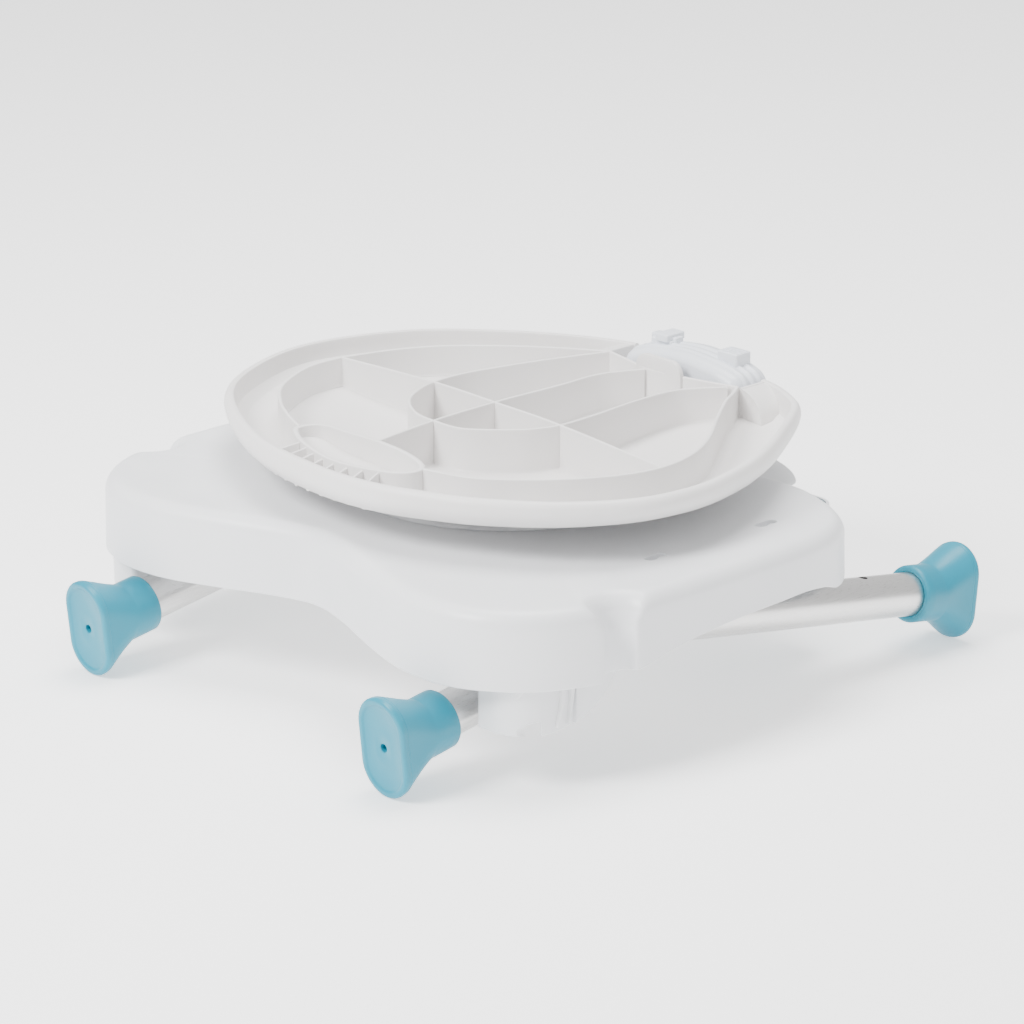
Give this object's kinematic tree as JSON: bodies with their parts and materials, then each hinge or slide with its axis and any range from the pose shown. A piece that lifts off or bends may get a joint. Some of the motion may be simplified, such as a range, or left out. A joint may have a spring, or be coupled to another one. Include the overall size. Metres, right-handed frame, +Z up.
{
  "type": "baby walker",
  "caption": "Folded stationary activity walker: skirted tray with a swivel seat ring, a loose ribbed cover, an arched bridge and swing-down tubular legs with rubber feet.",
  "frame": {"origin": "centre of the folded stand's bounding box on the floor", "axes": "+X to the rear (bridge side), +Y to the left, +Z up"},
  "size_m": [0.6194, 0.5978, 0.227],
  "materials": {
    "deck_plastic": "satin moulded polypropylene",
    "cover_plastic": "satin moulded plastic, warm white",
    "bridge_plastic": "satin moulded plastic, cool white",
    "teal_plastic": "satin moulded plastic",
    "dark_plastic": "fine grain",
    "foot_rubber": "smooth elastomer, lightly scuffed",
    "leg_aluminium": "satin drawn tube",
    "steel": "zinc plated"
  },
  "bodies": {
    "deck": {"deck_shell": "deck_plastic", "rear_bridge": "bridge_plastic", "bridge_screws": "steel", "housing_screws": "steel", "hinge_housing_front_left": "deck_plastic", "hinge_housing_front_right": "deck_plastic", "hinge_housing_rear_left": "deck_plastic", "hinge_housing_rear_right": "deck_plastic", "hinge_pin_front_left": "steel", "hinge_pin_front_right": "steel", "hinge_pin_rear_left": "steel", "hinge_pin_rear_right": "steel"},
    "ring": {"seat_ring": "deck_plastic", "ring_retainer": "deck_plastic", "ring_screws": "steel"},
    "cover": {"table_cover": "cover_plastic"},
    "leg_front_left": {"leg_socket_front_left": "teal_plastic"},
    "lower_leg_front_left": {"leg_tube_front_left": "leg_aluminium", "foot_front_left": "foot_rubber", "foot_plug_front_left": "dark_plastic", "sole_screw_front_left": "steel"},
    "height_pin_body_front_left": {"height_pin_front_left": "dark_plastic"},
    "latch_front_left": {"fold_latch_front_left": "teal_plastic"},
    "leg_front_right": {"leg_socket_front_right": "teal_plastic"},
    "lower_leg_front_right": {"leg_tube_front_right": "leg_aluminium", "foot_front_right": "foot_rubber", "foot_plug_front_right": "dark_plastic", "sole_screw_front_right": "steel"},
    "height_pin_body_front_right": {"height_pin_front_right": "dark_plastic"},
    "latch_front_right": {"fold_latch_front_right": "teal_plastic"},
    "leg_rear_left": {"leg_socket_rear_left": "teal_plastic"},
    "lower_leg_rear_left": {"leg_tube_rear_left": "leg_aluminium", "foot_rear_left": "foot_rubber", "foot_plug_rear_left": "dark_plastic", "sole_screw_rear_left": "steel"},
    "height_pin_body_rear_left": {"height_pin_rear_left": "dark_plastic"},
    "latch_rear_left": {"fold_latch_rear_left": "teal_plastic"},
    "leg_rear_right": {"leg_socket_rear_right": "teal_plastic"},
    "lower_leg_rear_right": {"leg_tube_rear_right": "leg_aluminium", "foot_rear_right": "foot_rubber", "foot_plug_rear_right": "dark_plastic", "sole_screw_rear_right": "steel"},
    "height_pin_body_rear_right": {"height_pin_rear_right": "dark_plastic"},
    "latch_rear_right": {"fold_latch_rear_right": "teal_plastic"}
  },
  "joints": [
    {"name": "cover_lift", "type": "slide", "parent": "deck", "child": "cover", "axis": [0, 0, 1], "range_m": [0, 0.25]},
    {"name": "ring_spin", "type": "hinge", "parent": "deck", "child": "ring", "pos_m": [0.00825, 0, 0.15], "axis": [0, 0, 1], "continuous": true},
    {"name": "fold_front_left", "type": "hinge", "parent": "deck", "child": "leg_front_left", "pos_m": [-0.19175, 0.24029, 0.12391], "axis": [0, 1, 0], "range_deg": [0, 84]},
    {"name": "height_front_left", "type": "slide", "parent": "leg_front_left", "child": "lower_leg_front_left", "axis": [0.9863, 0.0332, -0.1615], "range_m": [-0.028, 0]},
    {"name": "height_pin_pull_front_left", "type": "slide", "parent": "leg_front_left", "child": "height_pin_body_front_left", "axis": [0.0327, -0.9995, -0.0054], "range_m": [0, 0.004], "stiffness_N_per_m": 300},
    {"name": "latch_pull_front_left", "type": "slide", "parent": "deck", "child": "latch_front_left", "axis": [0, -1, 0], "range_m": [0, 0.004], "stiffness_N_per_m": 300},
    {"name": "fold_front_right", "type": "hinge", "parent": "deck", "child": "leg_front_right", "pos_m": [-0.19175, -0.24029, 0.12391], "axis": [0, 1, 0], "range_deg": [0, 84]},
    {"name": "height_front_right", "type": "slide", "parent": "leg_front_right", "child": "lower_leg_front_right", "axis": [0.9863, -0.0332, -0.1615], "range_m": [-0.028, 0]},
    {"name": "height_pin_pull_front_right", "type": "slide", "parent": "leg_front_right", "child": "height_pin_body_front_right", "axis": [0.0327, 0.9995, -0.0054], "range_m": [0, 0.004], "stiffness_N_per_m": 300},
    {"name": "latch_pull_front_right", "type": "slide", "parent": "deck", "child": "latch_front_right", "axis": [0, 1, 0], "range_m": [0, 0.004], "stiffness_N_per_m": 300},
    {"name": "fold_rear_left", "type": "hinge", "parent": "deck", "child": "leg_rear_left", "pos_m": [0.16825, 0.187, 0.11328], "axis": [0, -1, 0], "range_deg": [0, 84]},
    {"name": "height_rear_left", "type": "slide", "parent": "leg_rear_left", "child": "lower_leg_rear_left", "axis": [-0.989, 0, -0.1478], "range_m": [0, 0.028]},
    {"name": "height_pin_pull_rear_left", "type": "slide", "parent": "leg_rear_left", "child": "height_pin_body_rear_left", "axis": [0, -1, 0], "range_m": [0, 0.004], "stiffness_N_per_m": 300},
    {"name": "latch_pull_rear_left", "type": "slide", "parent": "deck", "child": "latch_rear_left", "axis": [0, -1, 0], "range_m": [0, 0.004], "stiffness_N_per_m": 300},
    {"name": "fold_rear_right", "type": "hinge", "parent": "deck", "child": "leg_rear_right", "pos_m": [0.16825, -0.187, 0.11328], "axis": [0, -1, 0], "range_deg": [0, 84]},
    {"name": "height_rear_right", "type": "slide", "parent": "leg_rear_right", "child": "lower_leg_rear_right", "axis": [-0.989, 0, -0.1478], "range_m": [0, 0.028]},
    {"name": "height_pin_pull_rear_right", "type": "slide", "parent": "leg_rear_right", "child": "height_pin_body_rear_right", "axis": [0, 1, 0], "range_m": [0, 0.004], "stiffness_N_per_m": 300},
    {"name": "latch_pull_rear_right", "type": "slide", "parent": "deck", "child": "latch_rear_right", "axis": [0, 1, 0], "range_m": [0, 0.004], "stiffness_N_per_m": 300}
  ]
}
